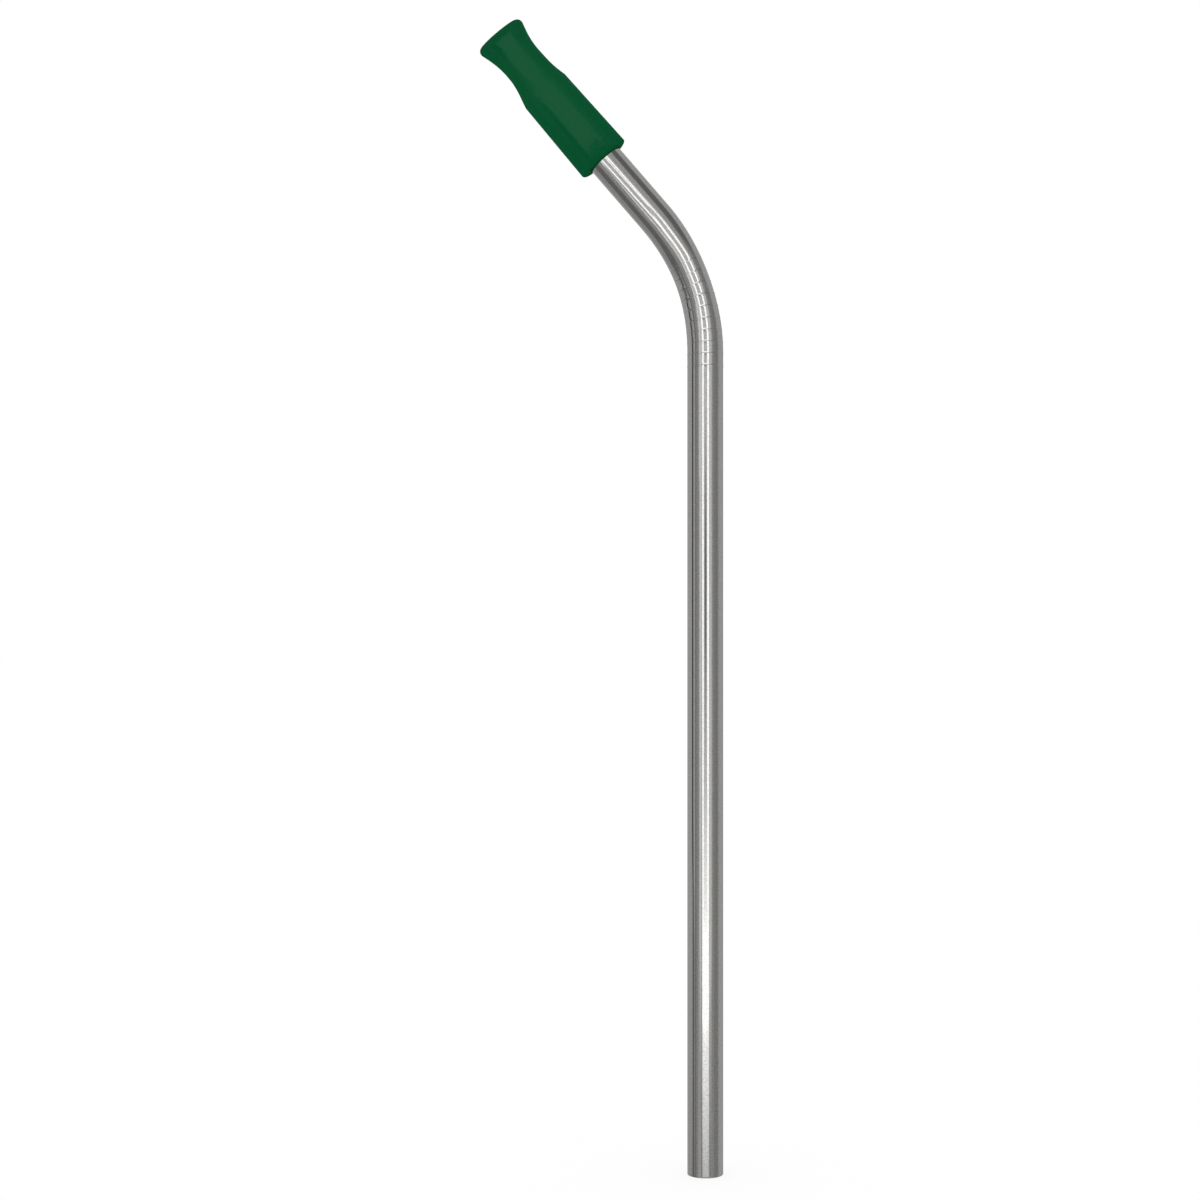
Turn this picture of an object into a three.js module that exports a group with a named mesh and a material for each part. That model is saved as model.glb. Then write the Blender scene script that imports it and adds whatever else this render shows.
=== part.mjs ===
// Bent steel drinking straw with a soft mouth tip, in millimetres.
// The origin is the centre of the tube's lower end, +Z runs up the long straight leg,
// and the bend leans the upper leg towards -X.
import * as THREE from "three";

// Steel tube: one drawn tube, cut square, bent once and deburred
const tubeDiameter = 8;
const tubeWall = 0.5;
const lowerLeg = 182.2; // straight length from the lower end to the bend
const bendRadius = 46; // radius of the centreline
const bendDegrees = 40.85;
const upperLeg = 36.55; // straight length from the bend to the upper end
const bendNarrowing = 0.045; // share the bend loses across its own plane, halfway round
const bendWidening = 0.015; // share it gains square to that plane
const rimBevel = 0.12; // broken edges of both ends

// Silicone mouth tip: a stretch-on moulding whose shoulder meets the tube's upper end
const seatDepth = 19.9; // length of tube inside the tip
const tipClearance = 0.3; // gap round the tube and above its end
const collarWall = 1.72; // wall at the open end
const shoulderWall = 1.36; // wall at the shoulder, where the outside turns into the neck
const mouthBore = 6; // channel from the shoulder to the mouth
const neckWall = 1.456; // wall at the narrowest place
const lipWall = 2.65; // wall at the lip's widest place
const neckRise = 8.05; // from the shoulder up to the narrowest place
const lipRise = 16.55; // from the shoulder up to the mouth's face
const lipRound = { across: 1.35, along: 1.56 }; // the lip's outer rounding
const mouthRound = 0.5; // the lip's inner rounding
const collarRound = 0.9; // outer edge of the open end
const collarLead = 0.35; // lead-in of the open end's bore

// Slopes and reach of the two smooth curves of the neck
const shoulderSlope = 0.224; // how fast the outside draws in above the shoulder
const lipStart = THREE.MathUtils.degToRad(-17); // where on the lip's rounding the flare joins it
const neckReach = { leave: 0.28, arrive: 0.47 };
const flareReach = { leave: 0.455, arrive: 0.25 };

// Fineness of the faceted surfaces
const aroundTube = 48;
const bendSteps = 16;
const legSteps = 4;
const curveSteps = 8;
const edgeSteps = 5;
const lipSteps = 10;

// Sizes that follow from the ones above
const tubeRadius = tubeDiameter / 2;
const boreRadius = tubeRadius - tubeWall;
const bendAngle = THREE.MathUtils.degToRad(bendDegrees);
const bendLength = bendRadius * bendAngle;
const tubeLength = lowerLeg + bendLength + upperLeg;
const socketRadius = tubeRadius + tipClearance;
const shoulderHeight = seatDepth + tipClearance; // from the tip's open end
const channelRadius = mouthBore / 2;
const tipLength = shoulderHeight + lipRise;

const steel = new THREE.MeshStandardMaterial({
  name: "drawn stainless steel",
  color: 0xb4b2ae,
  metalness: 1,
  roughness: 0.3,
});
const silicone = new THREE.MeshStandardMaterial({
  name: "green silicone",
  color: 0x064e2c,
  metalness: 0,
  roughness: 0.6,
});

// Joins stretches of an outline of (radius, length) points into one closed outline,
// without doubling the points where two stretches meet.
function closedOutline(...stretches) {
  const points = [];
  for (const point of stretches.flat()) {
    const last = points.at(-1);
    if (!last || last.distanceTo(point) > 1e-6) points.push(point);
  }
  points.push(points[0].clone());
  return points;
}

function at(radius, length) {
  return new THREE.Vector2(radius, length);
}

// A turned piece whose axis is +Z.
function turned(outline) {
  return new THREE.LatheGeometry(outline, aroundTube).rotateX(Math.PI / 2);
}

// Where the tube's centreline is at a length from the lower end, and how far it leans there.
function centreline(length) {
  const lean = THREE.MathUtils.clamp((length - lowerLeg) / bendRadius, 0, bendAngle);
  const below = Math.min(length, lowerLeg);
  const beyond = Math.max(length - lowerLeg - bendLength, 0);
  return {
    lean,
    x: -bendRadius * (1 - Math.cos(lean)) - beyond * Math.sin(lean),
    z: below + bendRadius * Math.sin(lean) + beyond * Math.cos(lean),
  };
}

// Lays a straight tube along the centreline and flattens it through the bend.
function bentToCentreline(geometry) {
  const position = geometry.getAttribute("position");
  for (let i = 0; i < position.count; i++) {
    const across = position.getX(i);
    const depth = position.getY(i);
    const { lean, x, z } = centreline(position.getZ(i));
    const oval = Math.sin((Math.PI * lean) / bendAngle) ** 2;
    const narrowed = across * (1 - bendNarrowing * oval);
    position.setXYZ(
      i,
      x + narrowed * Math.cos(lean),
      depth * (1 + bendWidening * oval),
      z + narrowed * Math.sin(lean),
    );
  }
  geometry.computeVertexNormals();
  return geometry;
}

// Lengths at which the tube's surface has a ring of corners.
function ringLengths() {
  const rings = [rimBevel];
  for (let i = 1; i < legSteps; i++) rings.push((lowerLeg * i) / legSteps);
  for (let i = 0; i <= bendSteps; i++) rings.push(lowerLeg + (bendLength * i) / bendSteps);
  rings.push(tubeLength - rimBevel);
  return rings;
}

function strawTube() {
  const rings = ringLengths();
  const outside = rings.map((length) => at(tubeRadius, length));
  const inside = rings.map((length) => at(boreRadius, length)).reverse();
  const outline = closedOutline(
    [at(tubeRadius - rimBevel, 0)],
    outside,
    [at(tubeRadius - rimBevel, tubeLength), at(boreRadius + rimBevel, tubeLength)],
    inside,
    [at(boreRadius + rimBevel, 0)],
  );
  const mesh = new THREE.Mesh(bentToCentreline(turned(outline)), steel);
  mesh.name = "straw_tube";
  return mesh;
}

function siliconeTip() {
  const collarRadius = socketRadius + collarWall;
  const shoulderRadius = socketRadius + shoulderWall;
  const neckRadius = channelRadius + neckWall;
  const lipRadius = channelRadius + lipWall;
  const neckHeight = shoulderHeight + neckRise;

  const collarEdge = new THREE.EllipseCurve(
    collarRadius - collarRound,
    collarRound,
    collarRound,
    collarRound,
    -Math.PI / 2,
    0,
  ).getPoints(edgeSteps);

  const lip = new THREE.EllipseCurve(
    lipRadius - lipRound.across,
    tipLength - lipRound.along,
    lipRound.across,
    lipRound.along,
    lipStart,
    Math.PI / 2,
  );
  const lipFoot = lip.getPoint(0);
  const lipPath = lip.getTangent(0);

  const neckSpan = neckHeight - shoulderHeight;
  const neckPath = at(-shoulderSlope, 1).normalize();
  const neck = new THREE.CubicBezierCurve(
    at(shoulderRadius, shoulderHeight),
    at(shoulderRadius, shoulderHeight).addScaledVector(neckPath, neckSpan * neckReach.leave),
    at(neckRadius, neckHeight - neckSpan * neckReach.arrive),
    at(neckRadius, neckHeight),
  ).getPoints(curveSteps);

  const flareSpan = lipFoot.y - neckHeight;
  const flare = new THREE.CubicBezierCurve(
    at(neckRadius, neckHeight),
    at(neckRadius, neckHeight + flareSpan * flareReach.leave),
    lipFoot.clone().addScaledVector(lipPath, -flareSpan * flareReach.arrive),
    lipFoot,
  ).getPoints(curveSteps);

  const mouthEdge = new THREE.EllipseCurve(
    channelRadius + mouthRound,
    tipLength - mouthRound,
    mouthRound,
    mouthRound,
    Math.PI / 2,
    Math.PI,
  ).getPoints(edgeSteps);

  const outline = closedOutline(
    [at(socketRadius + collarLead, 0)],
    collarEdge,
    neck,
    flare,
    lip.getPoints(lipSteps),
    mouthEdge,
    [at(channelRadius, shoulderHeight), at(socketRadius, shoulderHeight)],
    [at(socketRadius, collarLead)],
  );
  const mesh = new THREE.Mesh(turned(outline), silicone);
  mesh.name = "silicone_tip";
  const openEnd = centreline(tubeLength - seatDepth);
  mesh.position.set(openEnd.x, 0, openEnd.z);
  mesh.rotation.y = -openEnd.lean;
  return mesh;
}

const straw = new THREE.Group();
straw.name = "drinking_straw";
straw.add(strawTube(), siliconeTip());

export default straw;
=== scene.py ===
# Bent steel drinking straw with a soft green mouth tip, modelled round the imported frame.
import math

import bmesh
import bpy
from mathutils import Matrix, Vector


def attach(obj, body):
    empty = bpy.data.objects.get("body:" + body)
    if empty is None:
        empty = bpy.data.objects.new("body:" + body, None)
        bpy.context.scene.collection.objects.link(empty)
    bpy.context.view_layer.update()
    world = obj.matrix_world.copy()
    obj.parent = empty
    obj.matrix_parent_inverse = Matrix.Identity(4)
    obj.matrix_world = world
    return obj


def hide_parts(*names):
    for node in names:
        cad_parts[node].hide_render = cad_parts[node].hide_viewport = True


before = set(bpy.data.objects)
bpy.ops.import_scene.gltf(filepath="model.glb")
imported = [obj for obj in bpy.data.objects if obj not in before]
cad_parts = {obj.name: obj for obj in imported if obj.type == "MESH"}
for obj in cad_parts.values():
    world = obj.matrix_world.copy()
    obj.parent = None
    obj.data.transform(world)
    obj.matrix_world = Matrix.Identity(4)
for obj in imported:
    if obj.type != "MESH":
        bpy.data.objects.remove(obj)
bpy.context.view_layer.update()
scene = bpy.context.scene
mm = 0.001
tolerance = 1e-7  # steps and turns smaller than this are left out
white = (1, 1, 1, 1)


# Small helpers that work as the mouse would

def deselectAll():
    bpy.ops.object.select_all(action="DESELECT")


def startRing(name, sides, radius, height):
    deselectAll()
    bpy.ops.mesh.primitive_circle_add(
        vertices=sides, radius=radius * mm, fill_type="NOTHING", location=(0, 0, height * mm)
    )
    piece = bpy.context.object
    piece.name = name
    piece.data.name = name
    bpy.ops.object.transform_apply(location=True)
    bpy.ops.object.mode_set(mode="EDIT")
    bpy.ops.mesh.select_mode(type="VERT")
    bpy.ops.mesh.select_all(action="SELECT")
    return piece


def growRings(outline, driftAt=None, tilts=None):
    # extrudes the selected ring from each (radius, height) of the outline to the next;
    # a drift moves the rings sideways, and tilts lean them about their axes
    for (radius, height), (nextRadius, nextHeight) in zip(outline, outline[1:]):
        aside = driftAt(nextRadius, nextHeight) if driftAt else 0
        step = aside - driftAt(radius, height) if driftAt else 0
        bpy.ops.mesh.extrude_region_move(
            TRANSFORM_OT_translate={"value": (step * mm, 0, (nextHeight - height) * mm)}
        )
        centre = (aside * mm, 0, nextHeight * mm)
        if abs(nextRadius - radius) > tolerance:
            grow = nextRadius / radius
            bpy.ops.transform.resize(value=(grow, grow, grow), center_override=centre)
        for axis, tiltAt in (tilts or {}).items():
            turn = tiltAt(nextHeight) - tiltAt(height)
            if abs(turn) > tolerance:
                bpy.ops.transform.rotate(value=-turn, orient_axis=axis, center_override=centre)


def closeOutline():
    # joins the last ring to the first, so the wall is closed all round
    bpy.ops.mesh.select_all(action="DESELECT")
    bpy.ops.mesh.select_non_manifold(
        use_wire=False, use_multi_face=False, use_non_contiguous=False, use_verts=False
    )
    bpy.ops.mesh.bridge_edge_loops()
    bpy.ops.mesh.select_all(action="SELECT")
    bpy.ops.mesh.normals_make_consistent(inside=False)
    bpy.ops.mesh.select_all(action="DESELECT")
    bpy.ops.object.mode_set(mode="OBJECT")


def applyModifier(piece, kind, **settings):
    modifier = piece.modifiers.new(kind.lower(), kind)
    for name, value in settings.items():
        setattr(modifier, name, value)
    bpy.context.view_layer.objects.active = piece
    bpy.ops.object.modifier_apply(modifier=modifier.name)


def smoothByAngle(piece, degrees):
    deselectAll()
    piece.select_set(True)
    bpy.context.view_layer.objects.active = piece
    bpy.ops.object.shade_smooth_by_angle(angle=math.radians(degrees))


def arc(centre, radii, fromDegrees, toDegrees, steps):
    # points of an ellipse's arc, as (radius, height)
    points = []
    for i in range(steps + 1):
        angle = math.radians(fromDegrees + (toDegrees - fromDegrees) * i / steps)
        points.append((centre[0] + radii[0] * math.cos(angle), centre[1] + radii[1] * math.sin(angle)))
    return points


def bezier(a, b, c, d, steps):
    # points of a cubic curve from a to d that b and c pull on
    points = []
    for i in range(steps + 1):
        t = i / steps
        u = 1 - t
        weights = (u ** 3, 3 * u * u * t, 3 * u * t * t, t ** 3)
        points.append(tuple(sum(w * p[k] for w, p in zip(weights, (a, b, c, d))) for k in (0, 1)))
    return points


def eased(value, low, high):
    # 0 up to low, 1 from high on, and smoothly from one to the other between them
    share = min(max((value - low) / (high - low), 0), 1)
    return share * share * (3 - 2 * share)


def joined(*stretches):
    # one outline out of several stretches, without doubling the points where they meet
    outline = []
    for point in (p for stretch in stretches for p in stretch):
        if not outline or math.dist(outline[-1], point) > tolerance:
            outline.append(point)
    return outline


# Steel tube

tube = {
    "radius": 4.0,
    "wall": 0.5,
    "lowerLeg": 182.2,
    "bendRadius": 46.0,
    "bendAngle": math.radians(40.85),
    "upperLeg": 36.55,
    "narrowing": 0.045,  # share lost in the plane of the bend, halfway round
    "widening": 0.015,  # share gained square to it
    "fullness": 0.108,  # the outer half of the section stays fuller than the inner
    "fullStretch": (182.0, 196.0, 203.0, 211.5),  # lengths where that grows and fades
    "support": 0.35,  # rings that keep the rims and the first ripple from turning the long faces
    "rimRound": 0.12,
    "rimSteps": 4,
    "rimAngle": 50,  # degrees; edges sharper than this are the rims'
    "smoothAngle": 60,
    "sides": 144,
    "bendSteps": 56,
    "legSteps": 6,
    "leastGap": 0.05,  # a plain ring this close to a ripple's ring is left out
    "firstMark": 179.14,  # ripples that the bending tool left, counted from the lower end
    "markSpacing": 2.57,
    "markCount": 10,
    "markPlaces": (0, 0.03, 0.07, 0.1, 0.18, 0.28, 0.3, 0.33),  # its rings, either side
    "markHeight": 0.033,
    "crestHeight": 0.022,  # with a narrow crest along its middle
    "crestReach": 0.085,
    "markFade": 4,  # the last few fade out up the bend
}
tube["bendLength"] = tube["bendRadius"] * tube["bendAngle"]
tube["length"] = tube["lowerLeg"] + tube["bendLength"] + tube["upperLeg"]


def markHeightAt(length):
    # how far the ripples raise the outside there
    height = 0
    for i in range(tube["markCount"]):
        away = abs(length - tube["firstMark"] - i * tube["markSpacing"])
        fade = min(1, (tube["markCount"] - i) / tube["markFade"])
        height += fade * tube["markHeight"] * max(0, 1 - away / tube["markPlaces"][-1])
        height += fade * tube["crestHeight"] * max(0, 1 - away / tube["crestReach"])
    return height


def tubeStations():
    # lengths along the tube where its outside has a ring: legs, bend and every ripple
    bendStart = tube["lowerLeg"]
    bendStep = tube["bendLength"] / tube["bendSteps"]
    support = tube["support"]
    stations = {tube["length"], tube["length"] - support, support}
    stations.add(tube["firstMark"] - tube["markPlaces"][-1] - support)
    stations.update(bendStart * i / tube["legSteps"] for i in range(tube["legSteps"]))
    stations.update(bendStart + bendStep * i for i in range(tube["bendSteps"] + 1))
    ripples = []
    for i in range(tube["markCount"]):
        middle = tube["firstMark"] + i * tube["markSpacing"]
        ripples += [middle - place for place in reversed(tube["markPlaces"])]
        ripples += [middle + place for place in tube["markPlaces"][1:]]
    clear = [s for s in stations if all(abs(s - r) > tube["leastGap"] for r in ripples)]
    return sorted(clear + ripples)


def modelTube():
    stations = tubeStations()
    outside = [(tube["radius"] + markHeightAt(s), s) for s in stations]
    bore = tube["radius"] - tube["wall"]
    inside = [(bore, s) for s in reversed(stations) if markHeightAt(s) == 0]
    outline = joined(outside, inside)
    piece = startRing("steel_tube", tube["sides"], *outline[0])
    growRings(outline)
    closeOutline()
    applyModifier(
        piece, "BEVEL", width=tube["rimRound"] * mm, segments=tube["rimSteps"],
        limit_method="ANGLE", angle_limit=math.radians(tube["rimAngle"]), harden_normals=False,
    )
    keepStraightPlace(piece)
    fillOutBend(piece)
    bendTube(piece)
    smoothByAngle(piece, tube["smoothAngle"])
    return piece


def keepStraightPlace(piece):
    # each point's place on the straight tube, which the drawn grain follows round the bend
    place = piece.data.attributes.new("straightPlace", "FLOAT_VECTOR", "POINT")
    for vertex in piece.data.vertices:
        place.data[vertex.index].vector = vertex.co


def fillOutBend(piece):
    # makes the section egg-shaped where the tube bends, its outer half the wider one
    growFrom, growTo, fadeFrom, fadeTo = tube["fullStretch"]
    for vertex in piece.data.vertices:
        length = vertex.co.z / mm
        share = eased(length, growFrom, growTo) * (1 - eased(length, fadeFrom, fadeTo))
        vertex.co.y *= 1 + tube["fullness"] * share * vertex.co.x / (tube["radius"] * mm)


def bendTube(piece):
    # turns the straight tube's rings about the bend's axis, each by its own angle, and
    # those above the bend together
    rings = {}
    for vertex in piece.data.vertices:
        length = round(vertex.co.z / mm, 3)
        if length > tube["lowerLeg"]:
            rings.setdefault(min(length, tube["lowerLeg"] + tube["bendLength"]), []).append(vertex.index)
    bpy.ops.object.mode_set(mode="EDIT")
    pivot = Vector((-tube["bendRadius"], 0, tube["lowerLeg"])) * mm
    for length, ring in rings.items():
        along = length - tube["lowerLeg"]
        lean = along / tube["bendRadius"]
        oval = math.sin(math.pi * lean / tube["bendAngle"]) ** 2
        mesh = bmesh.from_edit_mesh(piece.data)
        mesh.verts.ensure_lookup_table()
        for vertex in mesh.verts:
            vertex.select = False
        for index in ring:
            mesh.verts[index].select = True
        mesh.select_flush_mode()
        bmesh.update_edit_mesh(piece.data)
        bpy.ops.transform.resize(
            value=(1 - tube["narrowing"] * oval, 1 + tube["widening"] * oval, 1),
            center_override=(0, 0, length * mm),
        )
        bpy.ops.transform.translate(value=(0, 0, -along * mm))
        bpy.ops.transform.rotate(value=lean, orient_axis="Y", center_override=pivot)
    bpy.ops.object.mode_set(mode="OBJECT")


def upperLegPoint(up):
    # the place on the tube's axis that lies so far above the bend
    lean = tube["bendAngle"]
    x = -tube["bendRadius"] * (1 - math.cos(lean)) - up * math.sin(lean)
    z = tube["lowerLeg"] + tube["bendRadius"] * math.sin(lean) + up * math.cos(lean)
    return Vector((x, 0, z)) * mm


steelTube = modelTube()
print("steel tube", len(steelTube.data.polygons), "faces")


# Silicone mouth tip

tip = {
    "seatDepth": 19.9,  # length of tube inside the tip
    "seatGap": 0.3,  # between the tube's end and the shoulder inside
    "fit": 0.015,  # the stretched collar lies on the tube
    "collarRadius": 6.11,
    "shoulderRadius": 5.73,
    "neckRadius": 4.58,
    "lipRadius": 5.80,
    "channelRadius": 3.0,
    "neckRise": 8.05,  # from the shoulder inside up to the neck
    "lipRise": 16.46,  # and up to the mouth end
    "lipRound": (1.1, 1.2),  # roundings: across the axis and along it
    "lipStart": -17,  # degrees from its widest place to where the lip's rounding starts
    "mouthRound": 0.5,
    "collarRound": (0.85, 0.55),
    "collarLead": 0.14,  # the collar's lower end, up from the foot of the tip's axis
    "socketBevel": 0.05,
    "socketRoom": (0.2, 1),  # rings this near to the tube, aside and above, are the socket's
    "support": 0.5,  # rings that keep the collar's edges from turning its long faces
    "shoulderSlope": 0.224,  # millimetres in to one up where the neck's curve starts
    "neckReach": (0.28, 0.47),  # how far both ends of a curve pull, as shares of its height
    "flareReach": (0.455, 0.25),
    "curveSteps": 24,
    "collarSteps": 16,
    "mouthSteps": 8,
    "smoothAngle": 40,
    "wallDrift": -0.12,  # the wall is a little thicker on one side of the tube
    "mouthDrift": 0.34,  # the soft mouth end sits a little aside and aslant
    "driftStretch": (20.5, 27.5),
    "mouthTilt": math.radians(1.4),
    "mouthLean": math.radians(6.5),  # and it leans, its front side a little lower
    "tiltStretch": (27.0, 35.0),
    "sides": 144,
}


def tipDriftAt(radius, height):
    # the socket stays round the tube, and all other rings may lie aside
    aside, above = tip["socketRoom"]
    inSocket = height < tip["seatDepth"] + above and radius < tube["radius"] + aside
    return 0 if inSocket else tip["wallDrift"] + tip["mouthDrift"] * eased(height, *tip["driftStretch"])


def tipTiltAt(height):
    return tip["mouthTilt"] * eased(height, *tip["tiltStretch"])


def tipLeanAt(height):
    return tip["mouthLean"] * eased(height, *tip["tiltStretch"])


def tipOutline():
    # the wall's outline as (radius, height): outside from the collar up, then inside and down
    shoulder = tip["seatDepth"] + tip["seatGap"]
    neck = shoulder + tip["neckRise"]
    mouth = shoulder + tip["lipRise"]
    socket = tube["radius"] + tip["fit"]
    across, along = tip["lipRound"]

    nose, noseRise = tip["collarRound"]
    collarTop = tip["collarLead"] + noseRise
    collarCentre = (tip["collarRadius"] - nose, collarTop)
    collarEdge = arc(collarCentre, tip["collarRound"], -90, 0, tip["collarSteps"])
    lipCentre = (tip["lipRadius"] - across, mouth - along)
    lip = arc(lipCentre, tip["lipRound"], tip["lipStart"], 90, tip["curveSteps"])
    foot = lip[0]
    start = math.radians(tip["lipStart"])
    path = Vector((-across * math.sin(start), along * math.cos(start))).normalized()

    neckPath = Vector((-tip["shoulderSlope"], 1)).normalized()
    leave, arrive = (share * tip["neckRise"] for share in tip["neckReach"])
    neckCurve = bezier(
        (tip["shoulderRadius"], shoulder),
        (tip["shoulderRadius"] + neckPath.x * leave, shoulder + neckPath.y * leave),
        (tip["neckRadius"], neck - arrive),
        (tip["neckRadius"], neck),
        tip["curveSteps"],
    )
    leave, arrive = (share * (foot[1] - neck) for share in tip["flareReach"])
    flareCurve = bezier(
        (tip["neckRadius"], neck),
        (tip["neckRadius"], neck + leave),
        (foot[0] - path.x * arrive, foot[1] - path.y * arrive),
        foot,
        tip["curveSteps"],
    )
    mouthRound = tip["mouthRound"]
    mouthCentre = (tip["channelRadius"] + mouthRound, mouth - mouthRound)
    mouthEdge = arc(mouthCentre, (mouthRound, mouthRound), 90, 180, tip["mouthSteps"])
    support, bevel = tip["support"], tip["socketBevel"]
    taper = (tip["collarRadius"] - tip["shoulderRadius"]) / (shoulder - collarTop)
    return joined(
        [(socket + bevel, tip["collarLead"])],
        collarEdge,
        [(tip["collarRadius"] - taper * support, collarTop + support)],
        [(tip["shoulderRadius"] + taper * support, shoulder - support)],
        neckCurve,
        flareCurve,
        lip,
        mouthEdge,
        [(tip["channelRadius"], shoulder), (socket, shoulder), (socket, tip["collarLead"] + bevel)],
    )


def modelTip():
    outline = tipOutline()
    piece = startRing("mouth_tip", tip["sides"], *outline[0])
    growRings(outline, tipDriftAt, {"Y": tipTiltAt, "X": tipLeanAt})
    closeOutline()
    piece.location = upperLegPoint(tube["upperLeg"] - tip["seatDepth"])
    piece.rotation_euler = (0, -tube["bendAngle"], 0)
    deselectAll()
    piece.select_set(True)
    bpy.ops.object.transform_apply(location=True, rotation=True, scale=True)
    smoothByAngle(piece, tip["smoothAngle"])
    return piece


mouthTip = modelTip()
print("mouth tip", len(mouthTip.data.polygons), "faces")


# Materials

steelLook = {
    "light": (0.70, 0.695, 0.68),
    "dark": (0.51, 0.505, 0.49),
    "roughness": (0.035, 0.065),
    "grainSize": 0.24,  # sizes and heights are in millimetres, sizes across the tube
    "grainStretch": 1.2,  # and so many times longer along it
    "grainHeight": 0.001,
    "streakSize": 0.8,
    "streakStretch": 30,
    "streakHeight": 0.0007,
}

siliconeLook = {
    "base": (0.0013, 0.0745, 0.0244),
    "shade": (0.0011, 0.0728, 0.0236),
    "roughness": (0.15, 0.19),
    "aslant": 1.0,  # its roughness where seen aslant, which keeps its edges plain
    "facingBlend": 0.85,
    "ior": 1.41,
    "specularLevel": 0.02,
    "skinSize": 0.25,
    "skinHeight": 0.0015,
    "cloudSize": 6.0,
}


class Nodes:
    # a short way to add nodes and join them; sockets that share a name go by number
    middle = (0.3, 0.7)  # the factors between which a value changes, as most noise lies there

    def __init__(self, tree):
        self.tree = tree
        tree.nodes.clear()

    def add(self, kind, settings=None, **inputs):
        node = self.tree.nodes.new(kind)
        for name, value in (settings or {}).items():
            setattr(node, name, value)
        for name, value in inputs.items():
            self.put(node, name.replace("_", " "), value)
        return node

    def put(self, node, name, value):
        socket = node.inputs[int(name) if name.isdigit() else name]
        if isinstance(value, bpy.types.NodeSocket):
            self.tree.links.new(value, socket)
        else:
            socket.default_value = value

    def math(self, operation, first, second=0.0):
        node = self.tree.nodes.new("ShaderNodeMath")
        node.operation = operation
        self.put(node, "0", first)
        self.put(node, "1", second)
        return node.outputs[0]

    def noise(self, vector, size, detail=2.0):
        node = self.add("ShaderNodeTexNoise", Vector=vector, Scale=1 / (size * mm), Detail=detail)
        return node.outputs["Fac"]

    def between(self, factor, low, high):
        least, most = self.middle
        return self.add(
            "ShaderNodeMapRange", Value=factor, From_Min=least, From_Max=most, To_Min=low, To_Max=high
        ).outputs[0]

    def blend(self, factor, low, high):
        node = self.tree.nodes.new("ShaderNodeMix")
        node.data_type = "RGBA"
        self.put(node, "0", factor)
        self.put(node, "6", (*low, 1))
        self.put(node, "7", (*high, 1))
        return node.outputs[2]


def newMaterial(name):
    material = bpy.data.materials.new(name)
    material.use_nodes = True
    return material, Nodes(material.node_tree)


def drawnSteel():
    material, nodes = newMaterial("drawn steel")
    place = nodes.add("ShaderNodeAttribute", {"attribute_name": "straightPlace"}).outputs["Vector"]

    def stretched(times):
        return nodes.add("ShaderNodeMapping", Vector=place, Scale=(1, 1, 1 / times)).outputs[0]

    grain = nodes.noise(stretched(steelLook["grainStretch"]), steelLook["grainSize"])
    streak = nodes.noise(stretched(steelLook["streakStretch"]), steelLook["streakSize"])
    height = nodes.math(
        "ADD",
        nodes.math("MULTIPLY", grain, steelLook["grainHeight"] * mm),
        nodes.math("MULTIPLY", streak, steelLook["streakHeight"] * mm),
    )
    bump = nodes.add("ShaderNodeBump", Height=height, Distance=1.0, Strength=1.0)
    shader = nodes.add("ShaderNodeBsdfPrincipled", Metallic=1.0, Normal=bump.outputs[0])
    mottle = nodes.between(grain, 0, 1)
    nodes.put(shader, "Base Color", nodes.blend(mottle, steelLook["dark"], steelLook["light"]))
    nodes.put(shader, "Roughness", nodes.between(streak, *steelLook["roughness"]))
    nodes.add("ShaderNodeOutputMaterial", Surface=shader.outputs[0])
    return material


def matteSilicone():
    material, nodes = newMaterial("matte silicone")
    place = nodes.add("ShaderNodeTexCoord").outputs["Object"]
    skin = nodes.noise(place, siliconeLook["skinSize"])
    cloud = nodes.noise(place, siliconeLook["cloudSize"])
    height = nodes.math("MULTIPLY", skin, siliconeLook["skinHeight"] * mm)
    bump = nodes.add("ShaderNodeBump", Height=height, Distance=1.0, Strength=1.0)
    shader = nodes.add("ShaderNodeBsdfPrincipled", IOR=siliconeLook["ior"], Normal=bump.outputs[0])
    nodes.put(shader, "Specular IOR Level", siliconeLook["specularLevel"])
    facing = nodes.add("ShaderNodeLayerWeight", Blend=siliconeLook["facingBlend"]).outputs["Facing"]
    smoothest = nodes.between(skin, *siliconeLook["roughness"])
    roughness = nodes.between(facing, smoothest, siliconeLook["aslant"])
    nodes.put(shader, "Base Color", nodes.blend(cloud, siliconeLook["shade"], siliconeLook["base"]))
    nodes.put(shader, "Roughness", roughness)
    nodes.add("ShaderNodeOutputMaterial", Surface=shader.outputs[0])
    return material


steelTube.data.materials.append(drawnSteel())
mouthTip.data.materials.append(matteSilicone())
print("materials")


# Studio: white all round for the camera and even light for matt surfaces. Shiny ones see a
# light tent: grey with upright strips, and at the camera's distance a white front panel
# with a port for the camera, strips beside it and a lower edge

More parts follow.
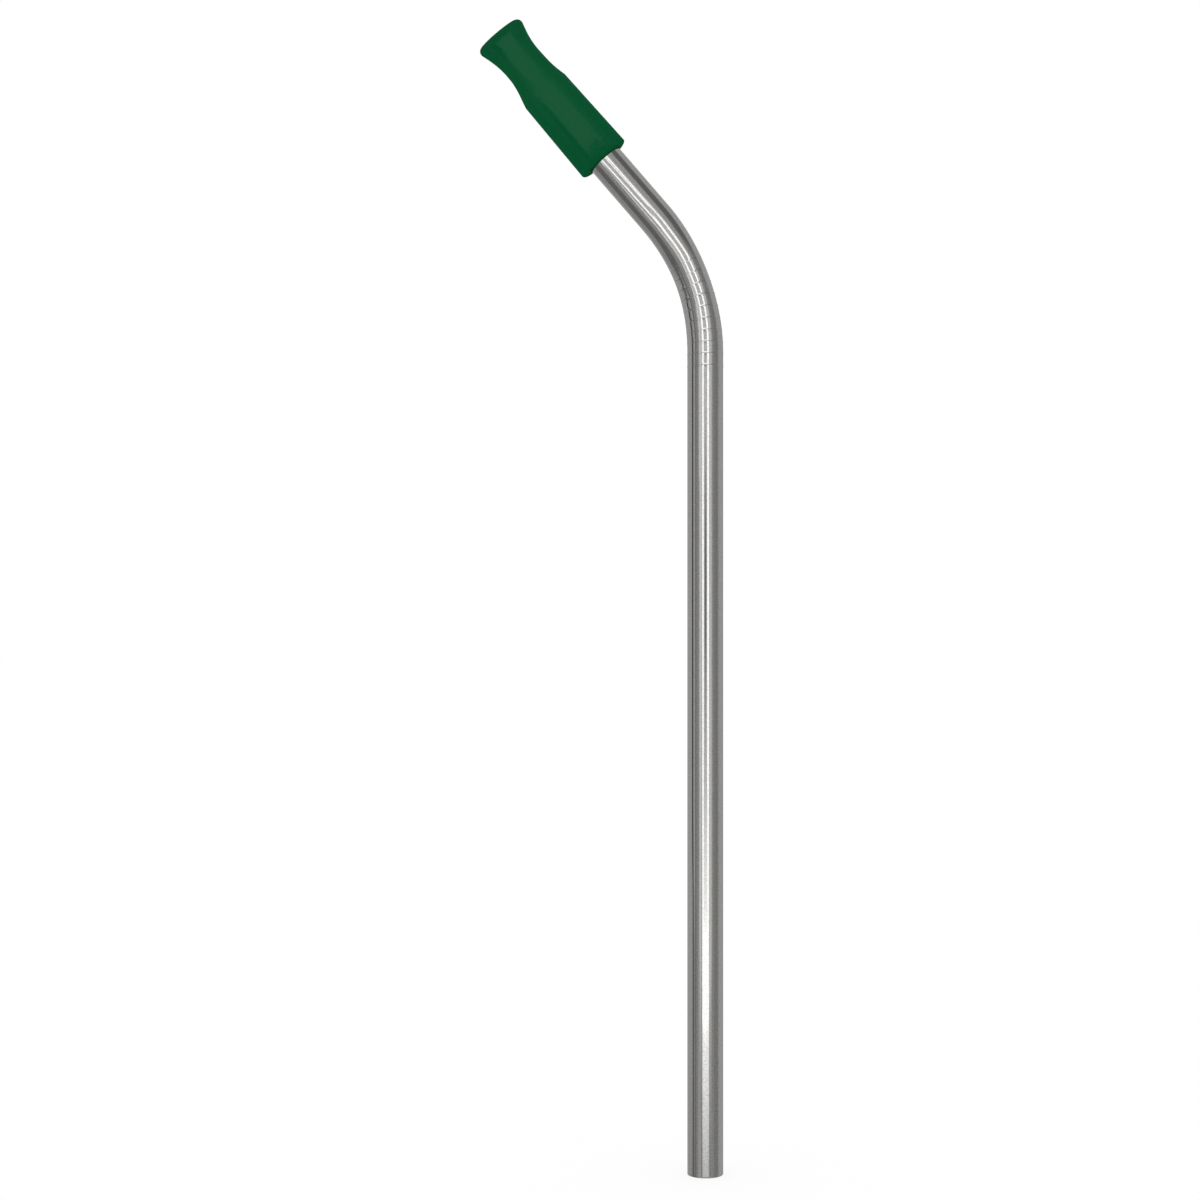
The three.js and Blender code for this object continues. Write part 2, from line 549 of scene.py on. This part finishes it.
studio = {
    "tent": 0.445,
    # strips and flags: azimuth from, to and elevation from, to as seen from the straw, in
    # degrees, with 0 at the camera and to its right; then light and softness of the edges
    "flags": {
        "top": (-180, 180, 62, 90, 0.9, 20),
        "left flag": (-95, -46.5, -80, 60, 0.32, 3),
        "left flag's edge": (-95, -86.5, -7, 60, 0.05, 2),
        "left flag's low edge": (-87, -77, -80, -7, 0.14, 3),
        "slit in the left flag": (-77, -69, -8.5, 60, 0.48, 2),
        "left flag's fold": (-69, -60.5, -80, 60, 0.21, 3),
        "low left flag": (-100, -60, -60, -16, 0.17, 9),
        "low left flag's side": (-135, -100, -60, -14, 0.34, 12),
        "right flag": (41, 92, -80, 60, 0.33, 8),
        "right flag's middle": (57, 88, -80, 60, 0.26, 12),
        "high right flag": (42, 92, 34, 60, 0.16, 12),
        "back panel": (-200, -161, -80, 10, 1.3, 4),
        "other half of the back panel": (161, 200, -80, 10, 1.3, 4),
        "flag behind": (154, 177, -30, 12, 0.03, 6),
    },
    # cards in front, each before the last: left, right, bottom and top in millimetres, and
    # the light at their bottom and top
    "cardPlace": -490,
    "cards": {
        "left reflector": (-385, -317, -30, 430, 0.97, 0.97),
        "left strip": (-317, -243, -30, 430, 0.72, 0.72),
        "inner left strip": (-243, -175, -30, 430, 0.55, 1.1),
        "left strips' foot": (-385, -243, -115, -30, 0.38, 0.8),
        "inner left strip's foot": (-243, -175, -160, -30, 0.2, 0.55),
        "dark seam": (-440, -392, -30, 190, 0.2, 0.2),
        "outer left card": (-470, -385, 190, 430, 0.58, 0.58),
        "right strip": (190, 385, -60, 430, 0.72, 0.72),
        "right strip's edge": (385, 470, -60, 430, 0.52, 0.52),
        "right strip's foot": (190, 385, -160, -60, 0.27, 0.6),
        "low front": (-168, 195, -150, -63, 0.48, 1.4),
        "front panel": (-175, 192, -63, 385, 1.69, 1.69),
        "front panel's top": (-175, 192, 385, 430, 1.0, 0.6),
        "above the port": (-94, 105, 370, 430, 0.85, 0.5),
        "port": (-94, 92, 45, 325, 0.76, 0.66),
        "port's foot": (-94, 92, -14, 45, 1.45, 0.78),
    },
    # the camera's dark lens in the port, softly edged: its middle, radii and light
    "lens": (3, 133),
    "lensRadii": (22, 90),
    "lensGlow": (0.2, 0.76),
    "lensSides": 64,
    # small cards close to the mouth end: left, right, bottom and top from the collar's end on
    # the tube's axis, their place in front, their turn from the upper leg in degrees, their light
    "nearCards": {
        "lines on the upper leg": (-15, 2.9, -12, 8, -31, 14, 1.5),
        "gap between the lines": (-9.2, -0.3, -12, 8, -30.5, 14, 0.62),
        "left of the lines": (-21, -15, -12, 8, -31, 14, 0.5),
        "shade over the lip": (-26, 29, 32, 70, -12, 0, 0.45),
    },
    # lamps that only the mouth tip mirrors, placed like the near cards but without a turn,
    # and their power in watts
    "stripeLamps": {
        "stripe lamp": (-26, 28.5, 8.2, 52, -30, 0.08),
        "stripe lamp for the neck": (-40, -26, 27, 52, -30, 0.0117),
    },
    "floorSize": 8.0,
    "floorShadow": 0.25,  # share of the floor's light that the straw may shade
}


def window(nodes, value, low, high, soft):
    # 1 between low and high, 0 outside them, with soft edges
    def edge(at):
        return nodes.add(
            "ShaderNodeMapRange", {"interpolation_type": "SMOOTHSTEP"},
            Value=value, From_Min=at - soft / 2, From_Max=at + soft / 2,
        ).outputs[0]
    return nodes.math("SUBTRACT", edge(low), edge(high))


def lightTent(nodes):
    direction = nodes.add("ShaderNodeTexCoord").outputs["Generated"]
    parts = nodes.add("ShaderNodeSeparateXYZ", Vector=direction).outputs
    towardsCamera = nodes.math("MULTIPLY", parts[1], -1.0)
    azimuth = nodes.math("DEGREES", nodes.math("ARCTAN2", parts[0], towardsCamera))
    elevation = nodes.math("DEGREES", nodes.math("ARCSINE", parts[2]))
    light = studio["tent"]
    for left, right, bottom, top, glow, soft in studio["flags"].values():
        across = window(nodes, azimuth, left, right, soft)
        up = window(nodes, elevation, bottom, top, soft)
        mix = nodes.add("ShaderNodeMix", {"data_type": "FLOAT"})
        nodes.put(mix, "0", nodes.math("MULTIPLY", across, up))
        nodes.put(mix, "2", light)
        nodes.put(mix, "3", glow)
        light = mix.outputs[0]
    return light


def makeWorld():
    world = bpy.data.worlds.new("studio")
    world.use_nodes = True
    scene.world = world
    nodes = Nodes(world.node_tree)
    ray = nodes.add("ShaderNodeLightPath").outputs
    even = nodes.add("ShaderNodeBackground", Color=white, Strength=1.0)
    tent = nodes.add("ShaderNodeBackground", Color=white, Strength=lightTent(nodes))
    mix = nodes.add("ShaderNodeMixShader")
    direct = nodes.math("LESS_THAN", ray["Diffuse Depth"], 0.5)  # not by way of a matt surface
    nodes.put(mix, "0", nodes.math("MULTIPLY", ray["Is Glossy Ray"], direct))
    nodes.put(mix, "1", even.outputs[0])
    nodes.put(mix, "2", tent.outputs[0])
    nodes.add("ShaderNodeOutputWorld", Surface=mix.outputs[0])


def glowing(name, place, fromValue, toValue, fromGlow, toGlow):
    # a material whose light changes evenly from one glow to the other
    material, nodes = newMaterial(name)
    glow = nodes.add(
        "ShaderNodeMapRange", Value=place(nodes),
        From_Min=fromValue, From_Max=toValue, To_Min=fromGlow, To_Max=toGlow,
    )
    light = nodes.add("ShaderNodeEmission", Strength=glow.outputs[0])
    nodes.add("ShaderNodeOutputMaterial", Surface=light.outputs[0])
    return material


def hangCard(card, name, material):
    # only shiny surfaces see it
    card.name = name
    card.data.materials.append(material)
    card.visible_camera = False
    card.visible_diffuse = False
    card.visible_shadow = False


def upwards(nodes):
    place = nodes.add("ShaderNodeTexCoord").outputs["UV"]
    return nodes.add("ShaderNodeSeparateXYZ", Vector=place).outputs[1]


def outwards(nodes):
    place = nodes.add("ShaderNodeTexCoord").outputs["Object"]
    return nodes.add("ShaderNodeVectorMath", {"operation": "LENGTH"}, Vector=place).outputs["Value"]


def addCard(name, middle, width, height, turn, glow):
    deselectAll()
    bpy.ops.mesh.primitive_plane_add(size=mm, location=middle, rotation=(math.radians(90), -turn, 0))
    bpy.context.object.scale = (width, height, 1)
    hangCard(bpy.context.object, name, glowing(name, upwards, 0, 1, *glow))


def besideUpperLeg(left, right, bottom, top, place, lean):
    # the middle of a card or lamp given from the collar's end, on axes that lean so far
    foot = upperLegPoint(tube["upperLeg"] - tip["seatDepth"])
    centre = Vector(((left + right) / 2, place, (bottom + top) / 2)) * mm
    return foot + Matrix.Rotation(-lean, 3, "Y") @ centre


def makeNearCards():
    for name, (left, right, bottom, top, place, turn, glow) in studio["nearCards"].items():
        lean = tube["bendAngle"] + math.radians(turn)
        middle = besideUpperLeg(left, right, bottom, top, place, lean)
        addCard(name, middle, right - left, top - bottom, lean, (glow, glow))


def makeStripeLamps():
    lean = tube["bendAngle"]
    lit = bpy.data.collections.new("lit by the stripe lamps")
    lit.objects.link(mouthTip)
    for name, (left, right, bottom, top, place, power) in studio["stripeLamps"].items():
        middle = besideUpperLeg(left, right, bottom, top, place, lean)
        deselectAll()
        bpy.ops.object.light_add(type="AREA", location=middle, rotation=(math.radians(90), -lean, 0))
        lamp = bpy.context.object
        lamp.name = name
        lamp.data.shape = "RECTANGLE"
        lamp.data.size = (right - left) * mm
        lamp.data.size_y = (top - bottom) * mm
        lamp.data.energy = power
        lamp.visible_camera = False
        lamp.visible_diffuse = False
        lamp.light_linking.receiver_collection = lit


def makeCards():
    for i, (name, (left, right, bottom, top, lowGlow, highGlow)) in enumerate(studio["cards"].items()):
        middle = Vector(((left + right) / 2, studio["cardPlace"] + i, (bottom + top) / 2)) * mm
        addCard(name, middle, right - left, top - bottom, 0, (lowGlow, highGlow))
    deselectAll()
    nearest = studio["cardPlace"] + len(studio["cards"])
    inner, outer = studio["lensRadii"]
    across, height = studio["lens"]
    bpy.ops.mesh.primitive_circle_add(
        vertices=studio["lensSides"], radius=outer * mm, fill_type="NGON",
        location=Vector((across, nearest, height)) * mm, rotation=(math.radians(90), 0, 0),
    )
    material = glowing("lens", outwards, inner * mm, outer * mm, *studio["lensGlow"])
    hangCard(bpy.context.object, "lens", material)


def makeFloor():
    deselectAll()
    bpy.ops.mesh.primitive_plane_add(size=studio["floorSize"], location=(0, 0, 0))
    floor = bpy.context.object
    floor.name = "floor"
    material, nodes = newMaterial("pale floor")
    matt = nodes.add("ShaderNodeBsdfDiffuse", Color=white)
    plain = nodes.add("ShaderNodeEmission", Color=white, Strength=1.0)
    ray = nodes.add("ShaderNodeLightPath").outputs
    share = nodes.math("MULTIPLY", ray["Is Camera Ray"], 1 - studio["floorShadow"])
    mix = nodes.add("ShaderNodeMixShader")
    nodes.put(mix, "0", share)
    nodes.put(mix, "1", matt.outputs[0])
    nodes.put(mix, "2", plain.outputs[0])
    nodes.add("ShaderNodeOutputMaterial", Surface=mix.outputs[0])
    floor.data.materials.append(material)
    floor.visible_glossy = False  # the shiny tube reflects the tent down to its lower end


view = {
    "lens": 66,
    "sensorWidth": 36,
    "clipStart": 0.01,  # in metres
    "place": (-23.3, -488, 127.3),
}


def makeCamera():
    data = bpy.data.cameras.new("camera")
    data.lens = view["lens"]
    data.sensor_width = view["sensorWidth"]
    data.clip_start = view["clipStart"]
    camera = bpy.data.objects.new("camera", data)
    scene.collection.objects.link(camera)
    camera.location = Vector(view["place"]) * mm
    camera.rotation_euler = (math.radians(90), 0, 0)
    scene.camera = camera


makeWorld()
makeCards()
makeNearCards()
makeStripeLamps()
makeFloor()
makeCamera()
scene.view_settings.view_transform = "Standard"
print("studio")


# Hand over to the frame

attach(steelTube, "tube")
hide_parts("straw_tube")
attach(mouthTip, "tip")
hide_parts("silicone_tip")
